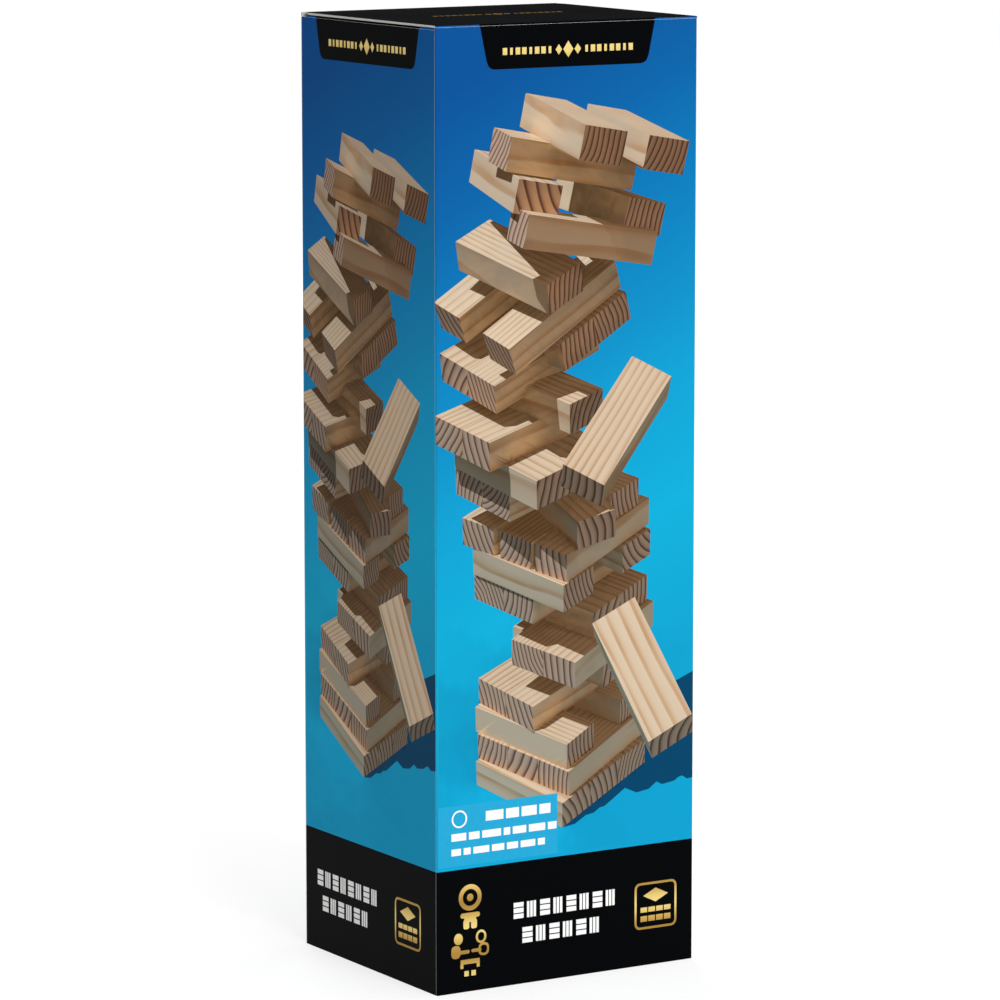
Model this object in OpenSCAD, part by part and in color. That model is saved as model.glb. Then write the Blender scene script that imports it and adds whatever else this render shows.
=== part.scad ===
// Boxed tumbling tower: an upright folding carton that holds a stack of wooden
// blocks and a folded rules leaflet.
// Origin: centre of the carton's footprint, on the surface that it stands on.
// Axes: +Z up, front face towards -Y, the narrow side face with the art towards -X.

/* [Carton] */
// Width of the front face
carton_w = 88.5; // [87:0.5:100]
// Depth of the carton, front to back
carton_d = 77; // [77:0.5:90]
// Height of the closed carton
carton_h = 280; // [276:1:320]
// Thickness of the board
board_t = 0.6; // [0.4:0.1:0.8]

/* [Top closure] */
// Depth of the tuck flap below the lid
tuck_depth = 16; // [10:1:18]
// Lean of the tuck flap, inwards from the back panel, in degrees
tuck_lean = 10; // [8:1:14]
// Length of each dust flap, from its crease
dust_len = 36; // [24:1:40]
// Setback of a dust flap's front edge for each millimetre of its length
dust_taper = 0.55; // [0.52:0.01:0.7]
// Distance from the back panel to a dust flap's rear edge
dust_rear_gap = 3.6; // [3:0.1:6]

/* [Blocks] */
// Length of a block
block_l = 75; // [74:0.5:75.2]
// Thickness of a block
block_t = 16; // [14:0.5:16]
// Loose room beside each block in a row
block_room = 0.1; // [0:0.02:0.2]
// Chamfer on a block's edges
block_ease = 0.7; // [0.3:0.1:1.5]
// Number of layers in the stack
layers = 16; // [4:1:16]

/* [Leaflet] */
// Width of the folded leaflet
leaflet_w = 66; // [50:1:70]
// Height of the folded leaflet
leaflet_h = 130; // [100:1:200]
// Thickness of the folded leaflet
leaflet_t = 1.2; // [0.8:0.1:2]

/* [Hidden] */
per_layer = 3;
block_w = block_l / per_layer;
pitch = block_w + block_room;
skin_gap = 0.1;                       // air between flat faces that part
slip = 0.3;                           // air around a piece that slides
half_w = carton_w / 2;
half_d = carton_d / 2;
inner_w = carton_w - 2 * board_t;
inner_d = carton_d - 2 * board_t;
lid_under = carton_h - board_t;       // underside of the lid
dust_top = lid_under - skin_gap;      // upper face of the dust flaps
lid_rear = inner_d / 2 - slip;        // rear crease of the lid
floor_top = 3 * board_t;              // three layers of board make the floor
stack_base = floor_top + skin_gap;
lid_seam = 4;                         // length of the lid's side shoulders at its rear crease
tuck_inset = 1.5;                     // side setback of the tuck flap at its crease
tuck_taper = 4;                       // further side setback at its free edge
tuck_round = 6;                       // corner radius at its free edge
dust_notch = 5;                       // size of a dust flap's rear corner cut
dust_front_gap = 0.6;                 // distance from the front panel to a dust flap's front edge
glue_w = 12;                          // width of the glue flap inside the left panel
floor_flap_len = 34;                  // length of a bottom dust flap
floor_half = 0.62;                    // share of the depth that the inner bottom flap covers
all_layers = [1 : layers];
all_places = [0 : per_layer - 1];

function block_name(layer, place) =
    str("block_", layer < 10 ? "0" : "", layer, "_", ["left", "middle", "right"][place]);

// A flat board plate between two corners.
module plate(low, high) {
    translate(low)
        cube(high - low);
}

// An outline in the XY plane, one board thick, hanging below the height z.
module board_below(z, outline) {
    translate([0, 0, z - board_t])
        linear_extrude(board_t)
            polygon(outline);
}

module front_panel() {
    color("dodgerblue")
        plate([-half_w, -half_d, 0], [half_w, -half_d + board_t, lid_under]);
}

// The back panel carries the glue flap, folded round the corner inside the left panel.
module back_panel() {
    color("royalblue") {
        plate([-half_w, half_d - board_t, 0], [half_w, half_d, carton_h]);
        plate(
            [-inner_w / 2, inner_d / 2 - glue_w, floor_top],
            [-inner_w / 2 + board_t, half_d, dust_top - 2 * board_t]
        );
    }
}

module side_panel() {
    plate([-half_w, -inner_d / 2, 0], [-inner_w / 2, inner_d / 2, dust_top - board_t]);
}

module left_panel() {
    color("steelblue")
        side_panel();
}

module right_panel() {
    color("steelblue")
        mirror([1, 0, 0])
            side_panel();
}

// The lid lies over the side panels and stops just inside the back panel.
module top_lid() {
    shoulder_y = lid_rear - lid_seam;
    color("black")
        board_below(carton_h, [
            [-half_w, -half_d],
            [half_w, -half_d],
            [half_w, shoulder_y],
            [half_w - tuck_inset, lid_rear],
            [-half_w + tuck_inset, lid_rear],
            [-half_w, shoulder_y]
        ]);
}

// Outline of the tuck flap, from its crease at y = 0 to its free edge at y = -tuck_depth.
module tuck_outline() {
    top_x = half_w - board_t - tuck_inset;
    low_x = top_x - tuck_taper;
    knee = -tuck_depth + tuck_round;
    straight = 2 * (low_x - tuck_round);
    union() {
        polygon([
            [-top_x, 0],
            [top_x, 0],
            [low_x, knee],
            [-low_x, knee]
        ]);
        translate([-straight / 2, -tuck_depth])
            square([straight, tuck_depth]);
        for (side = [-1, 1])
            translate([side * (low_x - tuck_round), knee])
                circle(r = tuck_round, $fn = 48);
    }
}

// The tuck flap hangs from the lid's rear crease and leans inwards, so that it
// swings clear of the back panel.
module tuck_flap() {
    inner_corner_rise = board_t * sin(tuck_lean);
    color("whitesmoke")
        translate([0, lid_rear, lid_under - skin_gap - inner_corner_rise])
            rotate([90 - tuck_lean, 0, 0])
                linear_extrude(board_t)
                    tuck_outline();
}

// A dust flap's front edge is cut back, so that it rises clear of the opening lid.
module dust_flap() {
    front_y = -inner_d / 2 + dust_front_gap;
    rear_y = inner_d / 2 - dust_rear_gap;
    tip_x = -half_w + dust_len;
    board_below(dust_top, [
        [-half_w, front_y],
        [tip_x, front_y + dust_taper * dust_len],
        [tip_x, rear_y - dust_notch],
        [tip_x - dust_notch, rear_y],
        [-half_w, rear_y]
    ]);
}

module left_dust_flap() {
    color("lightgray")
        dust_flap();
}

module right_dust_flap() {
    color("lightgray")
        mirror([1, 0, 0])
            dust_flap();
}

// The floor is three boards glued together: the outer flap, the inner flap
// behind it and the two dust flaps on top.
module bottom_outer_flap() {
    color("black")
        plate([-inner_w / 2, -inner_d / 2, 0], [inner_w / 2, inner_d / 2, board_t]);
}

module bottom_inner_flap() {
    color("gainsboro")
        plate(
            [-inner_w / 2, inner_d / 2 - floor_half * inner_d, board_t],
            [inner_w / 2, inner_d / 2, 2 * board_t]
        );
}

module bottom_dust_flaps() {
    color("lightgray")
        for (side = [0, 1])
            mirror([side, 0, 0])
                plate(
                    [-inner_w / 2, -inner_d / 2, 2 * board_t],
                    [-inner_w / 2 + floor_flap_len, inner_d / 2, floor_top]
                );
}

// The leaflet stands in the spare width between the stack and the right panel.
module rules_leaflet() {
    color("ivory")
        plate(
            [inner_w / 2 - slip - leaflet_t, -leaflet_w / 2, floor_top + skin_gap],
            [inner_w / 2 - slip, leaflet_w / 2, floor_top + skin_gap + leaflet_h]
        );
}

// A rectangle with its corners cut off.
module eased_rectangle(size_x, size_y, cut) {
    a = size_x / 2;
    b = size_y / 2;
    polygon([
        [-a, -b + cut], [-a + cut, -b],
        [a - cut, -b], [a, -b + cut],
        [a, b - cut], [a - cut, b],
        [-a + cut, b], [-a, b - cut]
    ]);
}

// One block, lying along Y, with its base at z = 0. Three crossing prisms
// chamfer all twelve edges.
module eased_block() {
    translate([0, 0, block_t / 2])
        intersection() {
            translate([0, 0, -block_t / 2])
                linear_extrude(block_t)
                    eased_rectangle(block_w, block_l, block_ease);
            rotate([90, 0, 0])
                translate([0, 0, -block_l / 2])
                    linear_extrude(block_l)
                        eased_rectangle(block_w, block_t, block_ease);
            rotate([90, 0, 90])
                translate([0, 0, -block_w / 2])
                    linear_extrude(block_w)
                        eased_rectangle(block_l, block_t, block_ease);
        }
}

// Odd layers lie along X and even layers along Y, so that each layer crosses
// the one below it.
module block(layer, place) {
    turn = layer % 2 == 1 ? -90 : 0;
    wood = ["burlywood", "wheat", "tan"][(layer + place) % 3];
    color(wood)
        translate([0, 0, stack_base + (layer - 1) * block_t])
            rotate([0, 0, turn])
                translate([(place - 1) * pitch, 0, 0])
                    eased_block();
}

front_panel();
back_panel();
left_panel();
right_panel();
top_lid();
tuck_flap();
left_dust_flap();
right_dust_flap();
bottom_outer_flap();
bottom_inner_flap();
bottom_dust_flaps();
rules_leaflet();
for (layer = all_layers)
    for (place = all_places)
        block(layer, place);
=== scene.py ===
"""Looks of a boxed tumbling tower game: a printed folding carton with pine blocks and a leaflet inside.

The carton's four faces carry a printed picture of a tumbling tower. The picture is worked out here from a
short list of layers: the blocks are placed in a small world of their own, seen in perspective, and the faces,
the shadows and the light on them become inked areas of the board.
"""

import math
import random

import bmesh
import bpy
from mathutils import Matrix, Vector
from mathutils.bvhtree import BVHTree
from mathutils.geometry import delaunay_2d_cdt


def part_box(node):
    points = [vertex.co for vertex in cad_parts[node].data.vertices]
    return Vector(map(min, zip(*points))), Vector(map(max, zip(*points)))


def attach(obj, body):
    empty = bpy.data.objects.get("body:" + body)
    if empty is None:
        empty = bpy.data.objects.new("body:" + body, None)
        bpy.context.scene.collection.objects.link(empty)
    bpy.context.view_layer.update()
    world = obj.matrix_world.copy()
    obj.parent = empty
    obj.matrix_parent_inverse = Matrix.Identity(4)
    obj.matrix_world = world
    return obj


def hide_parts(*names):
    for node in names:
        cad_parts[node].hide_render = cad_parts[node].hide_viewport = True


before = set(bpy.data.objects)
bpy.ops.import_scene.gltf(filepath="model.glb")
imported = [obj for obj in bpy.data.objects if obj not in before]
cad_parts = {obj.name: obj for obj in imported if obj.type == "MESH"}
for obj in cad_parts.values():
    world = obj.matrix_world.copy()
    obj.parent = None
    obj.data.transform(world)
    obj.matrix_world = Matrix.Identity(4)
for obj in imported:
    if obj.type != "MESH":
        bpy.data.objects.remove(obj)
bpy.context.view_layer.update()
scene = bpy.context.scene

MM = 0.001
CREASE = 0.5  # outer radius of a folded edge, mm
WELD = 0.004  # points of a board closer than this are one, mm
SKIN_GAP = 0.1  # air between flat faces that part, mm


def box_mm(node):
    low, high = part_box(node)
    return low / MM, high / MM


front_low, front_high = box_mm("front_panel")
side_low, side_high = box_mm("left_panel")
lid_low, lid_high = box_mm("top_lid")
WIDTH = front_high.x - front_low.x
DEPTH = -2 * front_low.y
HEIGHT = lid_high.z
BOARD = front_high.y - front_low.y
BAND_TOP = 36.5  # top of the black band at the foot of each face
TAB = 29.7  # half the width of the printed tab at the top edges
NARROW_SCALE = 0.88  # size of the narrow faces' picture, against the wide faces' one


# ---- materials

def linear(red, green, blue):
    """An 8-bit screen colour as the linear colour that shaders use."""
    def one(value):
        value /= 255
        return value / 12.92 if value <= 0.04045 else ((value + 0.055) / 1.055) ** 2.4
    return one(red), one(green), one(blue), 1.0


class Shader:
    """A material and the few calls that fill its node tree."""

    def __init__(self, name):
        self.material = bpy.data.materials.new(name)
        self.material.use_nodes = True
        self.tree = self.material.node_tree
        self.surface = self.tree.nodes["Principled BSDF"]

    def add(self, kind, inputs=None, **settings):
        node = self.tree.nodes.new("ShaderNode" + kind)
        for key, value in settings.items():
            setattr(node, key, value)
        for key, value in (inputs or {}).items():
            self.feed(node.inputs[key], value)
        return node

    def feed(self, socket, value):
        if isinstance(value, bpy.types.NodeSocket):
            self.tree.links.new(value, socket)
        else:
            socket.default_value = value

    def set(self, **inputs):
        for key, value in inputs.items():
            self.feed(self.surface.inputs[key.replace("_", " ")], value)

    def math(self, operation, a, b=0.0, c=0.0):
        return self.add("Math", {0: a, 1: b, 2: c}, operation=operation).outputs[0]

    def line(self, a, slope, start):
        return self.math("MULTIPLY_ADD", a, slope, start)

    def vector(self, operation, a, b):
        return self.add("VectorMath", {0: a, 1: b}, operation=operation).outputs[0]

    def scale(self, a, factor):
        return self.add("VectorMath", {0: a, "Scale": factor}, operation="SCALE").outputs[0]

    def length(self, a):
        return self.add("VectorMath", {0: a}, operation="LENGTH").outputs["Value"]

    def split(self, a):
        return self.add("SeparateXYZ", {0: a}).outputs

    def join(self, x=0.0, y=0.0, z=0.0):
        return self.add("CombineXYZ", {0: x, 1: y, 2: z}).outputs[0]

    def grey(self, level):
        return self.add("CombineColor", {0: level, 1: level, 2: level}).outputs[0]

    def attribute(self, name, output="Vector"):
        return self.add("Attribute", attribute_name=name).outputs[output]

    def mix(self, factor, a, b, blend="MIX"):
        node = self.add("Mix", data_type="RGBA", blend_type=blend)
        self.feed(node.inputs["Factor"], factor)
        self.feed(node.inputs["A"], a)
        self.feed(node.inputs["B"], b)
        return node.outputs["Result"]

    def tinted(self, colour, tint):
        return self.mix(1.0, colour, tint, "MULTIPLY")

    def ramp(self, factor, stops):
        node = self.add("ValToRGB", {"Fac": factor})
        elements = node.color_ramp.elements
        while len(elements) < len(stops):
            elements.new(0.5)
        for element, (position, colour) in zip(elements, stops):
            element.position = position
            element.color = colour
        return node.outputs["Color"]

    def noise(self, vector, scale=1.0, detail=2.0, roughness=0.5, output="Fac"):
        inputs = {"Vector": vector, "Scale": scale, "Detail": detail, "Roughness": roughness}
        return self.add("TexNoise", inputs).outputs[output]

    def place(self):
        return self.add("TexCoord").outputs["Object"]

    def bump(self, height, strength, distance):
        node = self.add("Bump", {"Height": height, "Strength": strength, "Distance": distance})
        self.feed(self.surface.inputs["Normal"], node.outputs["Normal"])


def varnished(shader, colour, roughness=0.34):
    """Finish a printed ink with satin varnish: slightly wavy, with fine paper tooth under it."""
    place = shader.place()
    tooth = shader.noise(place, scale=2600, detail=3)
    waves = shader.noise(place, scale=130)
    shader.bump(shader.line(tooth, 0.25, waves), strength=0.05, distance=0.0004)
    blotch = shader.line(shader.noise(place, scale=45, detail=3), 0.12, roughness - 0.06)
    shader.set(Base_Color=colour, Roughness=blotch, Specular_IOR_Level=0.012)
    return shader.material


def flat_ink(name, colour):
    """One solid ink, with the faint unevenness of a printed area."""
    fleck = 0.06
    shader = Shader(name)
    uneven = shader.noise(shader.place(), scale=700, detail=4)
    amount = shader.line(uneven, 2 * fleck, 1 - fleck)
    return varnished(shader, shader.tinted(colour, shader.grey(amount)))


def gold_ink():
    """Metallic gold ink with a painted sheen: lighter and darker in turn about every 15 mm up a face."""
    shader = Shader("ink_gold")
    height = shader.split(shader.attribute("print"))[1]
    # painted sheen: the gold's colour swings between lighter and darker with height
    painted_sheen = shader.math("SINE", shader.math("MULTIPLY", height, 0.42))
    sheen_level = shader.line(painted_sheen, 0.3, 0.5)
    tones = [(0.1, linear(150, 112, 48)), (0.5, linear(205, 170, 92)), (0.9, linear(240, 218, 140))]
    shader.set(Metallic=0.35)
    return varnished(shader, shader.ramp(sheen_level, tones), roughness=0.36)


SKY_STOPS = [  # the printed backdrop's colour by height, mm
    (30, (17, 160, 205)), (75, (17, 160, 204)), (120, (17, 171, 212)), (160, (17, 155, 203)),
    (180, (16, 140, 192)), (210, (13, 122, 181)), (245, (13, 97, 162)), (280, (12, 80, 147)),
]


def backdrop_ink():
    """The printed backdrop: deep blue at the top left to cyan at the lower right, darkened by shadow."""
    shader = Shader("ink_backdrop")
    across, up, _ = shader.split(shader.attribute("print"))
    lean = shader.line(across, -0.5, 22.0)
    factor = shader.math("DIVIDE", shader.math("ADD", up, lean), HEIGHT)
    colour = shader.ramp(factor, [(height / HEIGHT, linear(*rgb)) for height, rgb in SKY_STOPS])
    return varnished(shader, shader.tinted(colour, shader.attribute("light", "Color")))


RING = 4.2  # yearly growth, mm
RING_STOPS = [(0.0, 0.0), (0.4, 0.08), (0.66, 0.45), (0.8, 1.0), (0.93, 0.95), (1.0, 0.0)]


def pine_rings(shader, place):
    """0 in pale early wood to 1 in dark late wood. place is in mm, with the tree's heart on the X axis."""
    slow = shader.vector("MULTIPLY", place, (0.008, 0.03, 0.03))
    warp = shader.noise(slow, output="Color")
    shift = shader.scale(shader.vector("SUBTRACT", warp, (0.5, 0.5, 0.5)), 7.0)
    _, y, z = shader.split(shader.vector("ADD", place, shift))
    distance = shader.length(shader.join(y=y, z=z))
    ring = shader.math("FRACT", shader.math("DIVIDE", distance, RING))
    profile = shader.ramp(ring, [(at, (level, level, level, 1)) for at, level in RING_STOPS])
    return shader.add("RGBToBW", {0: profile}).outputs[0]


def pine_colour(shader, place, end, side_tones, end_tones):
    """Pine, striped along its sides and banded on its sawn ends (end = 1)."""
    rings = pine_rings(shader, place)
    stretched = shader.vector("MULTIPLY", place, (0.05, 1.6, 1.6))
    fibre = shader.noise(stretched, detail=4, roughness=0.65)
    patch = shader.noise(place, scale=0.03, detail=1)
    side_rings = shader.math("MULTIPLY", rings, shader.line(patch, 1.3, 0.05))
    side = shader.mix(side_rings, *side_tones)
    side = shader.mix(shader.math("MULTIPLY", fibre, 0.24), side, side_tones[1])
    return shader.mix(end, side, shader.mix(rings, *end_tones))


def picture_wood_ink():
    """The printed blocks: pine as the picture shows it, under the picture's own light."""
    shader = Shader("ink_wood")
    depth = shader.math("DIVIDE", 1.0, shader.attribute("inverse_depth", "Fac"))
    place = shader.scale(shader.attribute("grain"), depth)
    side_tones = linear(238, 225, 202), linear(206, 166, 124)
    end_tones = linear(224, 197, 175), linear(122, 94, 87)
    colour = pine_colour(shader, place, shader.attribute("end", "Fac"), side_tones, end_tones)
    return varnished(shader, shader.tinted(colour, shader.attribute("light", "Color")))


def board_material(name, colour):
    """Bare board: pale, matt and finely fibrous."""
    shader = Shader(name)
    place = shader.place()
    fibres = shader.noise(place, scale=900, detail=5, roughness=0.7)
    specks = shader.noise(place, scale=3200)
    dark = tuple(channel * 0.82 for channel in colour[:3]) + (1,)
    shader.set(Base_Color=shader.mix(fibres, dark, colour), Roughness=0.82)
    shader.bump(shader.math("ADD", fibres, specks), strength=0.15, distance=0.0002)
    return shader.material


materials = {
    "backdrop": backdrop_ink(),
    "wood": picture_wood_ink(),
    "black": flat_ink("ink_black", linear(5, 6, 8)),
    "white": flat_ink("ink_white", linear(238, 238, 236)),
    "gold": gold_ink(),
    "panel_blue": flat_ink("ink_panel_blue", linear(38, 158, 201)),
    "board": board_material("board_cut_edge", linear(205, 203, 198)),
    "inside": board_material("board_inside", linear(196, 190, 180)),
}


# ---- flat shapes, in mm on a face

def rectangle(u0, v0, u1, v1):
    return [(u0, v0), (u1, v0), (u1, v1), (u0, v1)]


def arc_points(cu, cv, ru, rv, start, end, steps):
    angles = [math.radians(start + (end - start) * k / steps) for k in range(steps + 1)]
    return [(cu + ru * math.cos(a), cv + rv * math.sin(a)) for a in angles]


def rounded(u0, v0, u1, v1, radius):
    corners = rectangle(u0 + radius, v0 + radius, u1 - radius, v1 - radius)
    return [p for k, corner in enumerate(corners)
            for p in arc_points(*corner, radius, radius, 180 + 90 * k, 270 + 90 * k, 3)]


def ellipse(cu, cv, ru, rv):
    return arc_points(cu, cv, ru, rv, 0, 360, steps=28)[:-1]


def lozenge(cu, cv, ru, rv):
    return [(cu - ru, cv), (cu, cv - rv), (cu + ru, cv), (cu, cv + rv)]


def inside(point, polygon):
    u, v = point
    hit = False
    for (u0, v0), (u1, v1) in zip(polygon, polygon[1:] + polygon[:1]):
        if (v0 > v) != (v1 > v) and u < u0 + (v - v0) * (u1 - u0) / (v1 - v0):
            hit = not hit
    return hit


def cross(a, b, c):
    return (b[0] - a[0]) * (c[1] - a[1]) - (b[1] - a[1]) * (c[0] - a[0])


def convex_hull(points):
    points = sorted(points)
    hull = []
    for ordered in (points, points[::-1]):
        chain = []
        for p in ordered:
            while len(chain) > 1 and cross(chain[-2], chain[-1], p) <= 0:
                chain.pop()
            chain.append(p)
        hull += chain[:-1]
    return hull


def clipped(subject, low, high):
    """The part of a convex polygon inside the rectangle from low to high."""
    for axis, limit, sign in ((0, low[0], 1), (0, high[0], -1), (1, low[1], 1), (1, high[1], -1)):
        kept = []
        for a, b in zip(subject, subject[1:] + subject[:1]):
            da, db = sign * (a[axis] - limit), sign * (b[axis] - limit)
            if da >= 0:
                kept.append(a)
            if (da >= 0) != (db >= 0):
                t = da / (da - db)
                kept.append((a[0] + (b[0] - a[0]) * t, a[1] + (b[1] - a[1]) * t))
        subject = kept
        if len(subject) < 3:
            return []
    return subject


def area(polygon):
    pairs = zip(polygon, polygon[1:] + polygon[:1])
    return abs(sum(a[0] * b[1] - a[1] * b[0] for a, b in pairs)) / 2


# ---- the printed tower

# The picture's world is in its own millimetres: a block is 75 x 25 x 15, and the table is at z = 0.
LONG, ACROSS, THICK = 75.0, 25.0, 15.0
ROOM = 0.3  # air beside a block in its layer
UP = Vector((0, 0, 1))
EYE = Vector((0, -1000, 620))
EYE_DOWN = math.radians(30)
EYE_SCALE = 630.0  # mm on the face for a slope of 1 from the eye's axis
EYE_CENTRE = (49.0, 88.4)  # where the eye's axis meets the front face
SUN = Vector((-0.45, -0.12, 0.88)).normalized()
SUN_COLOUR = Vector((0.55, 0.56, 0.57))
GRAZING = 0.05  # a face with less sun than this gets no shadow edges
ABOVE = 0.01  # height over a plane from which a corner throws a shadow on it
SMALLEST_SHADOW = 3.0  # square mm
FILL = Vector((0.62, -0.78, 0.08)).normalized()
DOME_RAYS = 24
DOME_REACH = 170.0
SUN_LIFT, SUN_STEP, DOME_LIFT = 0.05, 0.02, 0.3  # how far off its face a ray starts
HORIZON = -0.12  # a ray that falls more steeply than this meets the table
BOUNCE_REACH = 330.0  # height to which the table still lights the blocks
OPEN_TABLE = 0.155  # soft light on a place of the table with nothing near it
SHADOW_TINT = (0.3, 0.0, 0.06)  # red, green and blue that the backdrop keeps in the darkest shadow
BRIGHTEST = 1.25  # the most light that a printed place may hold
TOWER_TOP = 262.0  # height on a face that the picture's blocks stay under, mm
SHADOW_TOP = 110.0  # height that the tower's shade on the table stays under, mm
EYE_FORWARD = Vector((0, math.cos(EYE_DOWN), -math.sin(EYE_DOWN)))
EYE_UP = Vector((0, math.sin(EYE_DOWN), math.cos(EYE_DOWN)))

# Even layers show their blocks' ends on the left, and odd layers a long side.
# Each row: layer, how far each block is from the near edge, turn, x and y. The layers that don't lie level
# go on with their lift, tilt about X and tilt about Y.
LAYERS = [
    (1, (0, 25, 50), 46, -12, -26),
    (2, (0, 25, 50), 49, -11, -20),
    (3, (0, 50), 49, -12, -17),
    (4, (0, 25), 43, -27, 0),
    (5, (34,), 48, -12, -14),
    (6, (0, 25), 50, -8, -12),
    (7, (25, 50), 48, -12, -8),
    (8, (0, 25), 46, -29, 6),
    (9, (0, 50), 46, -11, -13),
    (10, (0, 27, 57), 49, -12, -10),
    (11, (0,), 26, 15, -8),
    (11, (46,), 47, -16, -12),
    (12, (0, 25), 40, -36, 2),
    (13, (0, 25), 40, -20, -19),
    (14, (0, 25), 40, -46, -4),
    (15, (22,), 42, -20, -16),
    (16, (0, 25), 40, -43, 11, 0, 8, -3),
    (17, (0, 25), 40, -6, 19, 1, 8, -13),
    (18, (0, 48), 38, -31, -4, 0, 14, -13),
    (19, (0,), 43, -16, -3, 9, 10, -5),
    (20, (0,), 23, -9, -26, 9, -12, 12),
    (21, (0,), 21, -13, -13, 7, -10, 13),
    (21, (62,), 32, -16, -22, 8, -14, 13),
    (22, (0,), 25, -20, -1, 8, -10, 13),
    (23, (0, 38), 26, 17, -21, 3.5, -9, 13),
]
# The two falling blocks: turn, tilt about X, tilt about Y and centre.
FALLING = [(60, 26, 6, (19, -89, 225)), (-67, -152, -171, (33, -171, 139))]

CUBE_FACES = [  # axis, side, corners numbered 4x + 2y + z
    (0, -1, (0, 1, 3, 2)), (0, 1, (4, 6, 7, 5)), (1, -1, (0, 4, 5, 1)),
    (1, 1, (2, 3, 7, 6)), (2, -1, (0, 2, 6, 4)), (2, 1, (1, 5, 7, 3)),
]
CUBE_EDGES = [(a, a ^ bit) for a in range(8) for bit in (1, 2, 4) if a < a ^ bit]


class Face:
    """One flat side of a printed block."""

    def __init__(self, block, axis, side, corners):
        self.block = block
        self.end = 1.0 if axis == block.along else 0.0
        self.points = [block.corners[k] for k in corners]
        self.origin = self.points[0]
        self.normal = (block.spin.col[axis] * side).normalized()
        reach_x, reach_y = self.points[1] - self.origin, self.points[3] - self.origin
        self.width, self.height = reach_x.length, reach_y.length
        self.x_axis, self.y_axis = reach_x.normalized(), reach_y.normalized()
        self.shown = (EYE - self.origin).dot(self.normal) > 0
        self.sun = max(0.0, self.normal.dot(SUN))

    def under(self, u, v):
        """The point of this face's plane that the picture shows at (u, v)."""
        ray = eye_ray(u, v)
        return EYE + ray * ((self.origin - EYE).dot(self.normal) / ray.dot(self.normal))


class Block:
    """One printed block, with its place in the picture's world."""

    def __init__(self, low, high, along, spin, centre, rng):
        self.along = along
        self.spin = spin
        self.centre = Vector(centre)
        spans = list(zip(low, high))
        self.middle = Vector([(a + b) / 2 for a, b in spans])
        local = [Vector((x, y, z)) for x in spans[0] for y in spans[1] for z in spans[2]]
        self.corners = [self.centre + spin @ p for p in local]
        self.heart = (rng.uniform(0, 900), rng.choice((-1, 1)) * rng.uniform(26, 60), rng.uniform(-30, 22))
        self.growth = rng.uniform(0.75, 1.45)  # yearly rings for each RING millimetres
        self.faces = [Face(self, *face) for face in CUBE_FACES]

    def grain(self, point):
        """A point in the block's own mm, with the tree's heart on the X axis."""
        local = self.spin.transposed() @ (point - self.centre) - self.middle
        ordered = (local.x, local.y, local.z) if self.along == 0 else (local.y, local.x, local.z)
        return Vector([a + b for a, b in zip(ordered, self.heart)]) * self.growth


def spin_matrix(turn, tilt_x, tilt_y):
    angles = zip((tilt_x, tilt_y, turn), "XYZ")
    about_x, about_y, about_z = [Matrix.Rotation(math.radians(angle), 3, axis) for angle, axis in angles]
    return about_x @ about_y @ about_z


def tower_blocks():
    rng = random.Random(11)
    blocks = []
    half, half_thick = LONG / 2, THICK / 2
    for layer, slots, turn, x, y, *lean in LAYERS:
        along = layer % 2
        lift, tilt_x, tilt_y = lean or (0, 0, 0)
        centre = (x, y, (layer - 0.5) * THICK + lift)
        for slot in slots:
            near, far = -half + slot, -half + slot + ACROSS - ROOM
            low = (near, -half, -half_thick) if along else (-half, near, -half_thick)
            high = (far, half, half_thick) if along else (half, far, half_thick)
            blocks.append(Block(low, high, along, spin_matrix(turn, tilt_x, tilt_y), centre, rng))
    for turn, tilt_x, tilt_y, centre in FALLING:
        corner = (half, ACROSS / 2, half_thick)
        low = [-c for c in corner]
        blocks.append(Block(low, corner, 0, spin_matrix(turn, tilt_x, tilt_y), centre, rng))
    return blocks


def eye_ray(u, v):
    across, up = (u - EYE_CENTRE[0]) / EYE_SCALE, (v - EYE_CENTRE[1]) / EYE_SCALE
    return Vector((1, 0, 0)) * across + EYE_FORWARD + EYE_UP * up


def on_table(u, v):
    """The point of the table that the picture shows at (u, v)."""
    ray = eye_ray(u, v)
    return EYE - ray * (EYE.z / ray.z)


def on_picture(point):
    offset = point - EYE
    depth = offset.dot(EYE_FORWARD)
    across, up = offset.x, offset.dot(EYE_UP)
    return EYE_CENTRE[0] + EYE_SCALE * across / depth, EYE_CENTRE[1] + EYE_SCALE * up / depth


def shadow_points(block, origin, normal):
    """Where the sun throws a block's corners on a plane, leaving out what is behind the plane."""
    heights = [(corner - origin).dot(normal) for corner in block.corners]
    points = [(corner, height) for corner, height in zip(block.corners, heights) if height > ABOVE]
    for a, b in CUBE_EDGES:
        if (heights[a] > ABOVE) != (heights[b] > ABOVE) and abs(heights[a] - heights[b]) > 1e-6:
            t = heights[a] / (heights[a] - heights[b])
            points.append((block.corners[a].lerp(block.corners[b], t), 0.0))
    slope = normal.dot(SUN)
    return [corner - SUN * (height / slope) for corner, height in points]


def face_shadows(face, blocks):
    """Outlines on the picture of the shadows that other blocks throw on a face."""
    outlines = []
    for block in blocks:
        if block is face.block:
            continue
        cast = [p - face.origin for p in shadow_points(block, face.origin, face.normal)]
        if len(cast) < 3:
            continue
        flat = convex_hull([(p.dot(face.x_axis), p.dot(face.y_axis)) for p in cast])
        kept = clipped(flat, (0, 0), (face.width, face.height)) if len(flat) > 2 else []
        if len(kept) > 2 and area(kept) > SMALLEST_SHADOW:
            outlines.append([on_picture(face.origin + face.x_axis * a + face.y_axis * b) for a, b in kept])
    return outlines


def table_shadows(blocks):
    casts = [shadow_points(block, Vector(), UP) for block in blocks]
    return [convex_hull([on_picture(p) for p in cast]) for cast in casts]


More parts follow.
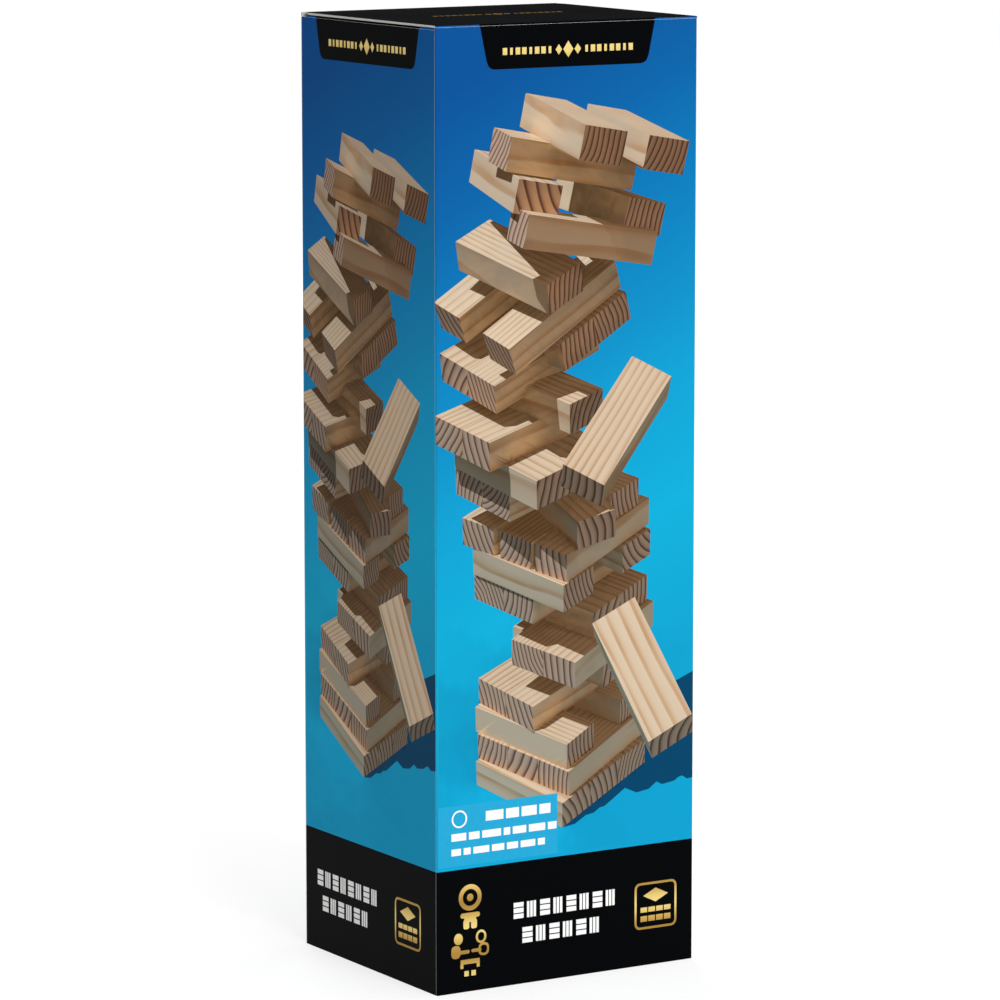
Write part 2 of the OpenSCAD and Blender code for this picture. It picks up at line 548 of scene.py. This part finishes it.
def dome():
    """Directions of a cosine-weighted half dome about +Z."""
    golden = math.pi * (3 - math.sqrt(5))
    rays = []
    for k in range(DOME_RAYS):
        radius, angle = math.sqrt((k + 0.5) / DOME_RAYS), k * golden
        rays.append(Vector((radius * math.cos(angle), radius * math.sin(angle), math.sqrt(1 - radius ** 2))))
    return rays


class Picture:
    """The printed picture: its outlines, and the block, grain and light at any place on it."""

    TABLE = -1
    SHADED_BOUNCE, SUNLIT_BOUNCE = 0.1, 0.75
    WOOD_BOUNCE = Vector((0.86, 0.52, 0.24))
    TABLE_BOUNCE = Vector((0.06, 0.27, 0.36))
    SKY = Vector((0.092, 0.058, 0.036))
    FILL_COLOUR = Vector((0.58, 0.43, 0.32))

    def __init__(self):
        self.blocks = tower_blocks()
        self.faces = [face for block in self.blocks for face in block.faces]
        points = [p for face in self.faces for p in face.points]
        quads = [tuple(range(4 * k, 4 * k + 4)) for k in range(len(self.faces))]
        self.tree = BVHTree.FromPolygons(points, quads)
        self.dome = dome()
        self.known = {}

    def outlines(self):
        shapes = table_shadows(self.blocks)
        for face in self.faces:
            if face.shown:
                shapes.append([on_picture(p) for p in face.points])
                if face.sun > GRAZING:
                    shapes += face_shadows(face, self.blocks)
        return shapes

    def at(self, u, v):
        """The number of the face seen at (u, v), or TABLE."""
        found = self.tree.ray_cast(EYE, eye_ray(u, v).normalized())
        return self.TABLE if found[2] is None else found[2]

    def sunlit(self, point, normal):
        return self.tree.ray_cast(point + normal * SUN_LIFT + SUN * SUN_STEP, SUN)[2] is None

    def sun_on(self, face, point):
        return face.sun if face.sun > 0 and self.sunlit(point, face.normal) else 0.0

    def open_light(self, direction):
        return self.SKY + self.FILL_COLOUR * max(0.0, direction.dot(FILL)) ** 2

    def soft_light(self, point, normal):
        """The light from everywhere but the sun, with one bounce off wood or table."""
        turn = normal.to_track_quat("Z", "Y")
        total = Vector()
        for ray in self.dome:
            direction = turn @ ray
            place, _, index, _ = self.tree.ray_cast(point + normal * DOME_LIFT, direction, DOME_REACH)
            if index is not None:
                lit = self.sun_on(self.faces[index], place)
                total += self.WOOD_BOUNCE * (self.SHADED_BOUNCE + self.SUNLIT_BOUNCE * lit)
            elif direction.z < HORIZON:
                total += self.TABLE_BOUNCE * max(0.0, 1.0 - point.z / BOUNCE_REACH)
            else:
                total += self.open_light(direction)
        return total / len(self.dome)

    def look(self, corner, index, u, v):
        """Grain over depth, one over depth, and soft light at a corner of a triangle on a face."""
        key = (corner, index)
        if key not in self.known:
            if index == self.TABLE:
                point, normal, grain = on_table(u, v), UP, Vector()
            else:
                face = self.faces[index]
                point, normal = face.under(u, v), face.normal
                grain = face.block.grain(point)
            depth = (point - EYE).dot(EYE_FORWARD) * MM
            self.known[key] = (grain / depth, 1 / depth, self.soft_light(point, normal))
        return self.known[key]


# ---- printed sheets

class Layout:
    """What is printed on one face: shapes in paint order, and the picture's place under them."""

    def __init__(self, picture=None, scale=1.0, shift=(0.0, 0.0)):
        self.shapes = []
        self.picture = picture
        self.scale = scale
        self.shift = shift

    def paint(self, ink, outline):
        self.shapes.append((ink, outline))

    def ink_at(self, point, base):
        found = base
        for ink, outline in self.shapes:
            if inside(point, outline):
                found = ink
        return found

    def to_picture(self, u, v):
        return (u - self.shift[0]) / self.scale, (v - self.shift[1]) / self.scale

    def from_picture(self, u, v):
        return u * self.scale + self.shift[0], v * self.scale + self.shift[1]


def grid(u0, v0, u1, v1, step):
    columns, rows = round((u1 - u0) / step), round((v1 - v0) / step)
    return [(u0 + (u1 - u0) * (i + 0.5) / columns, v0 + (v1 - v0) * (j + 0.5) / rows)
            for i in range(columns) for j in range(rows)]


def partition(outline, shapes, points):
    """Triangles that fill an outline and follow the edges of every shape. The shapes are convex."""
    low = [min(p[k] for p in outline) for k in (0, 1)]
    high = [max(p[k] for p in outline) for k in (0, 1)]
    places, edges = [], []
    for ring in [outline] + [clipped(shape, low, high) for shape in shapes]:
        first, count = len(places), len(ring)
        places += [Vector(p) for p in ring]
        edges += [(first + k, first + (k + 1) % count) for k in range(count)]
    places += [Vector(p) for p in points]
    vertices, _, faces, _, _, _ = delaunay_2d_cdt(places, edges, [], 0, WELD)
    triangles = []
    for face in faces:
        a, b, c = [vertices[k] for k in face]
        if inside(((a.x + b.x + c.x) / 3, (a.y + b.y + c.y) / 3), outline):
            triangles.append(face)
    return vertices, triangles


def rim_of(triangles):
    """The corners along the edge of a patch of triangles, in order."""
    sides = {side: True for face in triangles for side in zip(face, face[1:] + face[:1])}
    step = {a: b for a, b in sides if (b, a) not in sides}
    start = next(iter(step))
    rim, at = [start], step[start]
    while at != start:
        rim.append(at)
        at = step[at]
    return rim


class Sheet:
    """A printed sheet's triangles with their inks and attributes, ready to be folded onto a panel."""

    def __init__(self, outline, layout, base="backdrop", lines=(), picture_step=0.0, printed=None):
        self.printed = printed or (lambda u, v: (u, v))
        shapes = [shape for _, shape in layout.shapes] + list(lines)
        points = []
        if layout.picture:
            shapes += [[layout.from_picture(*p) for p in shape] for shape in layout.picture.outlines()]
            points = self.picture_points(outline, layout, picture_step)
        self.vertices, self.triangles = partition(outline, shapes, points)
        self.rim = rim_of(self.triangles)
        self.inks, self.looks = [], []
        for triangle in self.triangles:
            self.add_look(triangle, layout, base)

    def picture_points(self, outline, layout, step):
        """Places where the light is worked out: all over the blocks, and every other one on the low table."""
        points = []
        across = [p[0] for p in outline]
        for u, v in grid(min(across), BAND_TOP, max(across), TOWER_TOP, step):
            wooden = layout.picture.at(*layout.to_picture(u, v)) != Picture.TABLE
            if wooden or (v < SHADOW_TOP and (round(u / step) + round(v / step)) % 2):
                points.append((u, v))
        return points

    def add_look(self, triangle, layout, base):
        """Note a triangle's ink, whether it is a sawn end, and the grain, depth and light at its corners."""
        corners = [self.vertices[k] for k in triangle]
        middle = (sum(p.x for p in corners) / 3, sum(p.y for p in corners) / 3)
        ink, end = layout.ink_at(middle, base), 0.0
        looks = [(Vector(), 1.0, Vector((1, 1, 1)))] * 3
        if ink == "backdrop" and layout.picture:
            picture = layout.picture
            u, v = layout.to_picture(*middle)
            index = picture.at(u, v)
            places = [layout.to_picture(p.x, p.y) for p in corners]
            found = [picture.look((layout.scale, k), index, *p) for k, p in zip(triangle, places)]
            if index == Picture.TABLE:
                sunlit = picture.sunlit(on_table(u, v), UP)
                looks = [(grain, depth, table_light(soft, sunlit)) for grain, depth, soft in found]
            else:
                face = picture.faces[index]
                sun = SUN_COLOUR * picture.sun_on(face, face.under(u, v))
                looks = [(grain, depth, soft + sun) for grain, depth, soft in found]
                ink, end = "wood", face.end
        self.inks.append(ink)
        self.looks.append((looks, end))


def table_light(soft, sunlit):
    """How much of its full colour the backdrop keeps, from open and sunlit to enclosed and shaded."""
    shade = min(1.0, soft.y / OPEN_TABLE)
    level = (1.0 if sunlit else 0.17) * (0.35 + 0.65 * shade)
    return Vector([level + tint * (1 - level) for tint in SHADOW_TINT])


def clean(mesh):
    """Collapse needle-thin triangles, and turn the faces outwards."""
    shape = bmesh.new()
    shape.from_mesh(mesh)
    bmesh.ops.dissolve_degenerate(shape, dist=WELD * MM, edges=shape.edges)
    if shape.calc_volume(signed=True) < 0:
        bmesh.ops.reverse_faces(shape, faces=shape.faces)
    shape.to_mesh(mesh)
    shape.free()


def placed(name, data):
    """A new object in the scene."""
    thing = bpy.data.objects.new(name, data)
    scene.collection.objects.link(thing)
    return thing


def fold(name, sheet, place, body, replaced, turn=0.0):
    """A closed board from a printed sheet. place(u, v, inner) is a point of its outer or its inner side."""
    count, rim = len(sheet.vertices), len(sheet.rim)
    vertices = [place(*p, False) for p in sheet.vertices]
    vertices += [place(*sheet.vertices[k], True) for k in sheet.rim]
    faces = [list(t) for t in sheet.triangles]
    for k in range(rim):
        after = (k + 1) % rim
        faces.append([sheet.rim[after], sheet.rim[k], count + k, count + after])
    faces.append([count + k for k in range(rim)][::-1])
    inks = sheet.inks + ["board"] * rim + ["inside"]
    used = sorted({index for face in faces for index in face})
    number = {old: new for new, old in enumerate(used)}
    faces = [[number[index] for index in face] for face in faces]
    mesh = bpy.data.meshes.new(name)
    spun = Matrix.Rotation(math.radians(turn), 3, "Z")
    mesh.from_pydata([spun @ (Vector(vertices[k]) * MM) for k in used], [], faces)
    present = [ink for ink in materials if ink in inks]
    for ink in present:
        mesh.materials.append(materials[ink])
    mesh.polygons.foreach_set("material_index", [present.index(ink) for ink in inks])
    add_attributes(mesh, sheet)
    clean(mesh)
    piece = placed(name, mesh)
    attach(piece, body)
    if replaced:
        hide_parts(replaced)


ATTRIBUTES = [  # name, type, key of the value, and the value on unprinted board
    ("print", "FLOAT_VECTOR", "vector", [0, 0, 0]),
    ("grain", "FLOAT_VECTOR", "vector", [0, 0, 0]),
    ("inverse_depth", "FLOAT", "value", [1.0]),
    ("end", "FLOAT", "value", [0.0]),
    ("light", "FLOAT_COLOR", "color", [1.0] * 4),
]


def add_attributes(mesh, sheet):
    """What the inks read at each corner of a face. The printed triangles are the mesh's first faces."""
    corners = []
    for triangle, (looks, end) in zip(sheet.triangles, sheet.looks):
        for index, (grain, depth, light) in zip(triangle, looks):
            colour = [min(BRIGHTEST, channel) for channel in light] + [1.0]
            corners.append(([*sheet.printed(*sheet.vertices[index]), 0], grain, [depth], [end], colour))
    unprinted = len(mesh.loops) - len(corners)
    for (name, kind, key, plain), rows in zip(ATTRIBUTES, zip(*corners)):
        values = [value for row in rows for value in row] + plain * unprinted
        mesh.attributes.new(name, kind, "CORNER").data.foreach_set(key, values)


# ---- what is printed on the faces

def paint_tab(layout, middle):
    """The black tab at the top edge, with its gold ornament."""
    radius = 2.6
    outline = [(middle - TAB, HEIGHT + 1), (middle - TAB, HEIGHT), (middle - 27.4, HEIGHT - 10.6)]
    outline += arc_points(middle - 24.7, HEIGHT - 13 + radius, radius, radius, 190, 270, 4)
    outline += [(2 * middle - u, v) for u, v in outline[::-1]]
    layout.paint("black", outline)
    paint_ornament(layout, middle, HEIGHT - 8.0)


def paint_ornament(layout, middle, centre):
    """Three small gold lozenges between two rows of bars."""
    for side in (-1, 1):
        for k in range(8):
            u = middle + side * (6.2 + 2.15 * k)
            width = 0.75 if k % 3 else 0.45
            layout.paint("gold", rectangle(u - width, centre - 1.0, u + width, centre + 1.0))
        layout.paint("gold", lozenge(middle + side * 3.2, centre, 1.1, 1.5))
    layout.paint("gold", lozenge(middle, centre, 1.7, 2.4))


def paint_title(layout, left):
    """Where a name would stand: two lines of small white stacks, of flat and upright blocks in turn."""
    for start, base, height, count, pitch in ((0, 19.6, 5.1, 8, 4.55), (3.0, 12.1, 5.0, 6, 4.65)):
        width = pitch - 1.15
        bar, step = height / 3, width / 3
        for k in range(count):
            u = left + start + k * pitch
            for j in range(3):
                low, side = base + j * bar, u + j * step
                flat = rectangle(u, low, u + width, low + bar - 0.32)
                upright = rectangle(side, base, side + step - 0.28, base + height - 0.32)
                layout.paint("white", upright if k % 2 else flat)


def paint_badge(layout, middle):
    """A gold frame round a lozenge and two rows of bars."""
    layout.paint("gold", rounded(middle - 7.4, 10.9, middle + 7.4, 25.0, 1.8))
    layout.paint("black", rounded(middle - 6.7, 11.6, middle + 6.7, 24.3, 1.2))
    layout.paint("gold", lozenge(middle, 21.0, 4.4, 2.1))
    for base, height in ((16.0, 1.5), (13.2, 1.7)):
        for k in range(4):
            u = middle - 5.3 + k * 2.75
            layout.paint("gold", rectangle(u, base, u + 2.35, base + height))


def paint_pictograms(layout):
    """A plain counter figure, two players at a table, and two bars under it."""
    gold, black = "gold", "black"
    marks = [
        (gold, ellipse, 11.2, 27.9, 3.9, 3.9), (black, ellipse, 11.2, 27.9, 2.5, 2.5),
        (gold, ellipse, 11.2, 27.9, 1.1, 1.1), (gold, rounded, 7.9, 21.9, 14.5, 23.4, 0.7),
        (gold, rounded, 9.2, 20.6, 13.2, 23.4, 0.6), (gold, rounded, 8.9, 18.6, 10.9, 21.4, 0.6),
        (gold, rounded, 11.5, 18.6, 13.5, 21.4, 0.6), (gold, ellipse, 7.2, 15.9, 1.5, 1.7),
        (gold, rounded, 4.8, 10.2, 7.9, 14.0, 1.2), (gold, rounded, 6.2, 11.3, 11.0, 12.4, 0.5),
        (gold, ellipse, 14.9, 15.9, 1.8, 2.0), (black, ellipse, 14.9, 15.9, 1.1, 1.3),
        (gold, rounded, 14.0, 10.2, 17.6, 14.0, 1.4), (black, rounded, 14.7, 10.9, 16.9, 13.3, 0.9),
        (gold, rounded, 11.6, 11.5, 15.0, 12.5, 0.45), (gold, rectangle, 7.9, 8.2, 14.4, 9.6),
        (gold, rectangle, 7.9, 7.0, 8.9, 9.6), (gold, rectangle, 13.4, 7.0, 14.4, 9.6),
        (gold, rectangle, 9.2, 4.6, 10.7, 6.2), (gold, rectangle, 11.6, 4.6, 13.1, 6.2),
    ]
    for ink, shape, *numbers in marks:
        layout.paint(ink, shape(*numbers))


def paint_note(layout):
    """A plain blue field with white bars, where a printed note would stand."""
    layout.paint("panel_blue", rectangle(0.6, 37.6, 41.0, 55.4))
    layout.paint("white", ellipse(7.6, 51.4, 2.6, 2.6))
    layout.paint("panel_blue", ellipse(7.6, 51.4, 2.1, 2.1))
    rows = [  # place and height of a row of bars, and their lengths
        (16.5, 49.9, 2.9, (6.0, 4.4, 5.2, 3.8)),
        (4.9, 45.0, 2.2, (5.0, 3.6, 6.4, 2.2, 4.6, 5.6, 3.0)),
        (4.9, 40.7, 2.0, (3.2, 2.4, 5.4, 4.2, 3.8, 5.0, 2.4)),
    ]
    for u, v, height, lengths in rows:
        for length in lengths:
            layout.paint("white", rectangle(u, v, u + length, v + height))
            u += length + 0.9


def face_layout(width, title_left, badge_middle, *picture_place):
    """What the wide and narrow faces share."""
    layout = Layout(*picture_place)
    layout.paint("black", rectangle(-1, -1, width + 1, BAND_TOP))
    paint_tab(layout, width / 2)
    paint_title(layout, title_left)
    paint_badge(layout, badge_middle)
    return layout


def wide_layout(picture):
    layout = face_layout(WIDTH, 26.0, 75.4, picture)
    paint_pictograms(layout)
    paint_note(layout)
    return layout


def narrow_layout(picture):
    shift = (DEPTH / 2 - NARROW_SCALE * 46.4, 17.6)
    return face_layout(DEPTH, 7.4, 60.4, picture, NARROW_SCALE, shift)


# ---- the carton

QUARTER = math.pi / 2 * CREASE  # length of board round a fold, mm
FOLD_EXTRA = QUARTER - CREASE  # what a fold adds beyond the panel's width
CREASE_END = -FOLD_EXTRA - (BOARD - CREASE) / 2  # where a folded flap's print stops, mm from its crease
BEND_LINES = [CREASE - QUARTER * k / 3 for k in range(3)]  # cuts that let a fold bend smoothly


def folded(distance):
    """Round a fold, from a face down its folded edge: how far in, and how far down."""
    past = CREASE - distance
    if past <= 0:
        return distance, 0.0
    angle = min(past / CREASE, math.pi / 2)
    return CREASE * (1 - math.sin(angle)), CREASE * (1 - math.cos(angle)) + max(0.0, past - QUARTER)


def place_wide(u, v, inner):
    side = -1 if u < WIDTH / 2 else 1
    inward, back = folded(u if side < 0 else WIDTH - u)
    return side * (WIDTH / 2 - inward), -DEPTH / 2 + (BOARD if inner else back), v


def place_narrow(u, v, inner):
    return -WIDTH / 2 + (BOARD if inner else 0.0), DEPTH / 2 - u, v


def fold_lines(width, top):
    """Narrow strips along both folded edges of a panel."""
    strips = []
    for u in BEND_LINES:
        strips.append(rectangle(-FOLD_EXTRA, 0, u, top))
        strips.append(rectangle(width - u, 0, width + FOLD_EXTRA, top))
    return strips


def build_panels():
    picture = Picture()
    top = front_high.z
    outline = rectangle(-FOLD_EXTRA, 0, WIDTH + FOLD_EXTRA, top)
    sheet = Sheet(outline, wide_layout(picture), lines=fold_lines(WIDTH, top), picture_step=1.8)
    fold("printed_front", sheet, place_wide, "carton", "front_panel")

    def place_back(u, v, inner):
        return place_wide(u, v * HEIGHT / top, inner)

    fold("printed_back", sheet, place_back, "carton", "back_panel", turn=180)
    outline = rectangle(DEPTH / 2 - side_high.y, 0, DEPTH / 2 - side_low.y, side_high.z)
    sheet = Sheet(outline, narrow_layout(picture), picture_step=1.7)
    for side, turn in (("left", 0), ("right", 180)):
        fold(f"printed_{side}", sheet, place_narrow, "carton", f"{side}_panel", turn=turn)


def crease_strips(low, high):
    """Narrow strips along a flap's crease."""
    return [rectangle(low - 1, CREASE_END, high + 1, w) for w in BEND_LINES]


def build_lid():
    length = lid_high.y - lid_low.y
    inset, seam = 1.5, 4.0
    outline = [(0, CREASE_END), (WIDTH, CREASE_END), (WIDTH, length - seam), (WIDTH - inset, length),
               (inset, length), (0, length - seam)]
    layout = Layout()
    layout.paint("backdrop", rectangle(-1, -2, WIDTH / 2 - TAB, 0.1))
    layout.paint("backdrop", rectangle(WIDTH / 2 + TAB, -2, WIDTH + 1, 0.1))
    paint_ornament(layout, WIDTH / 2, DEPTH / 2)

    def place(u, w, inner):
        inward, down = folded(w)
        return u - WIDTH / 2, lid_low.y + inward, HEIGHT - (BOARD if inner else down)

    sheet = Sheet(outline, layout, "black", crease_strips(0, WIDTH), printed=lambda u, w: (u, HEIGHT))
    fold("printed_lid", sheet, place, "lid", "top_lid")


def build_tuck():
    high = box_mm("tuck_flap")[1]
    lean = math.radians(10)
    inset, taper, corner, depth = 1.5, 4.0, 6.0, 16.0
    top_x = WIDTH / 2 - BOARD - inset
    low_x = top_x - taper
    half = arc_points(low_x - corner, corner - depth, corner, corner, 0, -90, 8)
    outline = [(top_x, 0)] + half + [(-u, v) for u, v in half[::-1]] + [(-top_x, 0)]
    crease = Vector((0, lid_high.y, high.z - BOARD * math.sin(lean)))
    along = Vector((0, math.sin(lean), math.cos(lean)))
    inward = Vector((0, -math.cos(lean), math.sin(lean))) * BOARD

    def place(u, v, inner):
        return crease + Vector((u, 0, 0)) + along * v + (inward if inner else Vector())

    sheet = Sheet(outline, Layout(), "black")
    fold("tuck_board", sheet, place, "tuck", "tuck_flap")


def build_dust_flaps():
    low, high = box_mm("left_dust_flap")
    length = high.x - low.x
    front, rear = low.y, high.y
    setback, notch, bleed = 0.55 * length, 5.0, 5.0
    outline = [(rear, CREASE_END), (rear, length - notch), (rear - notch, length), (front + setback, length),
               (front, 0), (front, CREASE_END)]
    layout = Layout()
    layout.paint("backdrop", rectangle(front - 1, -2, rear + 1, bleed))
    layout.paint("black", rectangle(-TAB, -2, TAB, bleed))

    def place(y, w, inner):
        inward, down = folded(w)
        return -WIDTH / 2 + inward, y, low.z if inner else high.z - down

    def mirrored(y, w, inner):
        x, y, z = place(y, w, inner)
        return -x, y, z

    strips = crease_strips(-DEPTH / 2, DEPTH / 2)
    sheet = Sheet(outline, layout, "board", strips, printed=lambda y, w: (DEPTH / 2 - y, HEIGHT))
    fold("left_dust_board", sheet, place, "left_dust", "left_dust_flap")
    fold("right_dust_board", sheet, mirrored, "right_dust", "right_dust_flap")


def build_glue_flap():
    """The strip of the back panel that is glued inside the left panel."""
    width, low_z, high_z = 12.0, 3 * BOARD, lid_low.z - 2 * BOARD - SKIN_GAP
    rear = DEPTH / 2 - BOARD
    x, air = -WIDTH / 2 + BOARD, 0.02
    outline = [(rear - width, low_z + width), (rear, low_z), (rear, high_z), (rear - width, high_z - width)]
    sheet = Sheet(outline, Layout(), "board")

    def place(y, z, inner):
        return x + (BOARD if inner else air), y, z

    fold("glue_flap", sheet, place, "carton", None)


def paper_material():
    """Uncoated leaflet paper, with rows of plain grey bars."""
    shader = Shader("leaflet_paper")
    place = shader.place()
    _, y, z = shader.split(place)
    bar = shader.math("GREATER_THAN", shader.math("FRACT", shader.math("MULTIPLY", z, 250.0)), 0.62)
    words = shader.noise(shader.vector("MULTIPLY", place, (0, 420, 250)), detail=1)
    inked = shader.math("MULTIPLY", bar, shader.math("GREATER_THAN", words, 0.44))
    edge = shader.math("LESS_THAN", shader.math("ABSOLUTE", y), 0.027)
    fibres = shader.noise(place, scale=1800, detail=4, roughness=0.6)
    paper = shader.mix(fibres, linear(222, 220, 214), linear(240, 239, 234))
    colour = shader.mix(shader.math("MULTIPLY", inked, edge), paper, linear(120, 122, 126))
    shader.set(Base_Color=colour, Roughness=0.75)
    shader.bump(fibres, strength=0.08, distance=0.0002)
    return shader.material


def build_leaflet():
    """A sheet folded to and fro into six leaves, seen end-on as a flattened serpent."""
    low, high = box_mm("rules_leaflet")
    leaves, ply = 6, 0.13
    straight_steps, bend_steps = 12, 6
    pitch = (high.x - low.x - ply) / (leaves - 1)
    bend = pitch / 2
    reach = high.y - bend - ply / 2
    centre = []
    for leaf in range(leaves):
        x = low.x + ply / 2 + leaf * pitch
        side = 1 if leaf % 2 == 0 else -1
        shares = [k / straight_steps for k in range(straight_steps + 1)]
        centre += [Vector((x, -side * reach * (1 - 2 * share))) for share in shares]
        if leaf < leaves - 1:
            for k in range(1, bend_steps):
                angle = math.pi * k / bend_steps
                out, up = bend - bend * math.cos(angle), reach + bend * math.sin(angle)
                centre.append(Vector((x + out, side * up)))
    last = len(centre) - 1
    left, right = [], []
    for k, point in enumerate(centre):
        ahead = (centre[min(k + 1, last)] - centre[max(k - 1, 0)]).normalized()
        across = Vector((-ahead.y, ahead.x)) * ply / 2
        left.append(point + across)
        right.append(point - across)
    ring = left + right[::-1]
    count = len(ring)
    vertices = [(p.x * MM, p.y * MM, z * MM) for z in (low.z, high.z) for p in ring]
    faces = [(k, (k + 1) % count, count + (k + 1) % count, count + k) for k in range(count)]
    quads = [(k, k + 1, count - 2 - k, count - 1 - k) for k in range(last)]
    faces += [quad[::-1] for quad in quads] + [[count + index for index in quad] for quad in quads]
    mesh = bpy.data.meshes.new("folded_leaflet")
    mesh.from_pydata(vertices, [], faces)
    mesh.materials.append(paper_material())
    clean(mesh)
    piece = placed("folded_leaflet", mesh)
    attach(piece, "leaflet")
    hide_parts("rules_leaflet")


def pine_material(name, along):
    """Sanded pine for real blocks along X (along = 0) or Y (along = 1), each cut from another place."""
    shader = Shader(name)
    block_low, block_high = box_mm("block_01_middle")
    thick = block_high.z - block_low.z
    pitch = abs(box_mm("block_01_right")[1].y - block_high.y)
    x, y, z = shader.split(shader.scale(shader.place(), 1 / MM))
    length, across = (x, y) if along == 0 else (y, x)
    column = shader.math("ROUND", shader.math("DIVIDE", across, pitch))
    row = shader.math("FLOOR", shader.math("DIVIDE", shader.math("SUBTRACT", z, block_low.z), thick))
    cell = shader.join(column, row, float(along))
    luck = shader.split(shader.add("TexWhiteNoise", {"Vector": cell}).outputs["Color"])
    local = shader.math("SUBTRACT", across, shader.math("MULTIPLY", column, pitch))
    height = shader.math("SUBTRACT", z, shader.math("MULTIPLY", row, thick))
    place = shader.join(
        shader.line(luck[2], 900.0, length),
        shader.math("ADD", local, shader.line(luck[0], 90.0, -45.0)),
        shader.math("ADD", height, shader.line(luck[1], 40.0, 6.0)),
    )
    normal = shader.split(shader.add("TexCoord").outputs["Normal"])[along]
    end = shader.math("GREATER_THAN", shader.math("ABSOLUTE", normal), 0.8)
    side_tones = linear(236, 208, 162), linear(205, 160, 106)
    end_tones = linear(214, 178, 132), linear(150, 108, 72)
    colour = pine_colour(shader, place, end, side_tones, end_tones)
    shade = shader.grey(shader.line(luck[2], 0.16, 0.86))
    shader.set(Base_Color=shader.tinted(colour, shade), Roughness=0.58, Specular_IOR_Level=0.3)
    grain = shader.vector("MULTIPLY", place, (0.08, 2.4, 2.4))
    fine = shader.noise(grain, detail=5, roughness=0.7)
    shader.bump(fine, strength=0.25, distance=0.0002)
    return shader.material


def dress_cad_nodes():
    """Materials for the CAD nodes that keep their own shape: the blocks and the glued floor."""
    woods = [pine_material("pine_along_x", along=0), pine_material("pine_along_y", along=1)]
    plain = {"bottom_outer_flap": "black", "bottom_inner_flap": "inside", "bottom_dust_flaps": "inside"}
    for name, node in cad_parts.items():
        if name.startswith("block_"):
            layer = int(name.split("_")[1])
            finish = woods[0 if layer % 2 else 1]
        elif name in plain:
            finish = materials[plain[name]]
        else:
            continue
        node.data.materials.clear()
        node.data.materials.append(finish)


build_panels()
build_glue_flap()
build_lid()
build_tuck()
build_dust_flaps()
build_leaflet()
dress_cad_nodes()


# ---- stage, light and camera

def build_stage():
    """A pale floor with a painted glow that brightens it to white with distance."""
    reach = 6.0
    corners = [(x * reach, y * reach, 0) for x, y in rectangle(-1, -1, 1, 1)]
    mesh = bpy.data.meshes.new("floor")
    mesh.from_pydata(corners, [], [(0, 1, 2, 3)])
    floor = placed("floor", mesh)
    shader = Shader("floor_painted_glow")
    # painted glow: the floor's emission rises with distance so that it stays white where the lamps' light
    # falls off
    away = shader.length(shader.place())
    glow_ramp = {"Value": away, "From Min": 0.1, "From Max": 2.5, "To Min": 0.66, "To Max": 0.98}
    painted_glow = shader.add("MapRange", glow_ramp)
    shader.set(Base_Color=(0.35, 0.35, 0.35, 1), Roughness=0.9, Specular_IOR_Level=0.0)
    shader.set(Emission_Color=(1, 1, 1, 1), Emission_Strength=painted_glow.outputs[0])
    mesh.materials.append(shader.material)


def area_light(name, place, target, side, power, mirrored=True):
    data = bpy.data.lights.new(name, "AREA")
    data.size = side
    data.energy = power
    light = placed(name, data)
    light.location = place
    light.rotation_euler = (Vector(target) - Vector(place)).to_track_quat("-Z", "Y").to_euler()
    light.visible_glossy = mirrored


def build_light():
    """Four soft lights, and a world that the camera sees as white and the object as a faint glow."""
    middle, glow = (0, 0, 0.14), 0.06
    area_light("key", (-0.1, -1.9, 1.0), middle, 1.1, 30)
    area_light("overhead", (0.0, -0.3, 2.0), (0, 0, 0), 1.6, 24)
    area_light("back_fill", (0.3, 1.7, 1.7), middle, 1.2, 24, mirrored=False)
    area_light("right_fill", (2.0, -0.1, 1.0), middle, 1.0, 12)
    world = bpy.data.worlds.new("studio")
    scene.world = world
    world.use_nodes = True
    nodes, links = world.node_tree.nodes, world.node_tree.links
    backdrop = nodes["Background"]
    backdrop.inputs["Color"].default_value = (1, 1, 1, 1)
    seen = nodes.new("ShaderNodeLightPath").outputs["Is Camera Ray"]
    strength = nodes.new("ShaderNodeMath")
    strength.operation = "MULTIPLY_ADD"
    strength.inputs[1].default_value = 1 - glow
    strength.inputs[2].default_value = glow
    links.new(seen, strength.inputs[0])
    links.new(strength.outputs[0], backdrop.inputs["Strength"])
    scene.view_settings.view_transform = "Standard"


def build_camera():
    """The camera, in front and to the left, looking slightly down."""
    data = bpy.data.cameras.new("camera")
    data.sensor_width = 36
    data.lens = 188.7
    camera = placed("camera", data)
    camera.location = (-0.8022, -1.3057, 0.3719)
    turn, down = math.radians(31.59), math.radians(8.73)
    look = Vector((math.sin(turn) * math.cos(down), math.cos(turn) * math.cos(down), -math.sin(down)))
    camera.rotation_euler = look.to_track_quat("-Z", "Y").to_euler()
    bpy.context.scene.camera = camera


build_stage()
build_light()
build_camera()
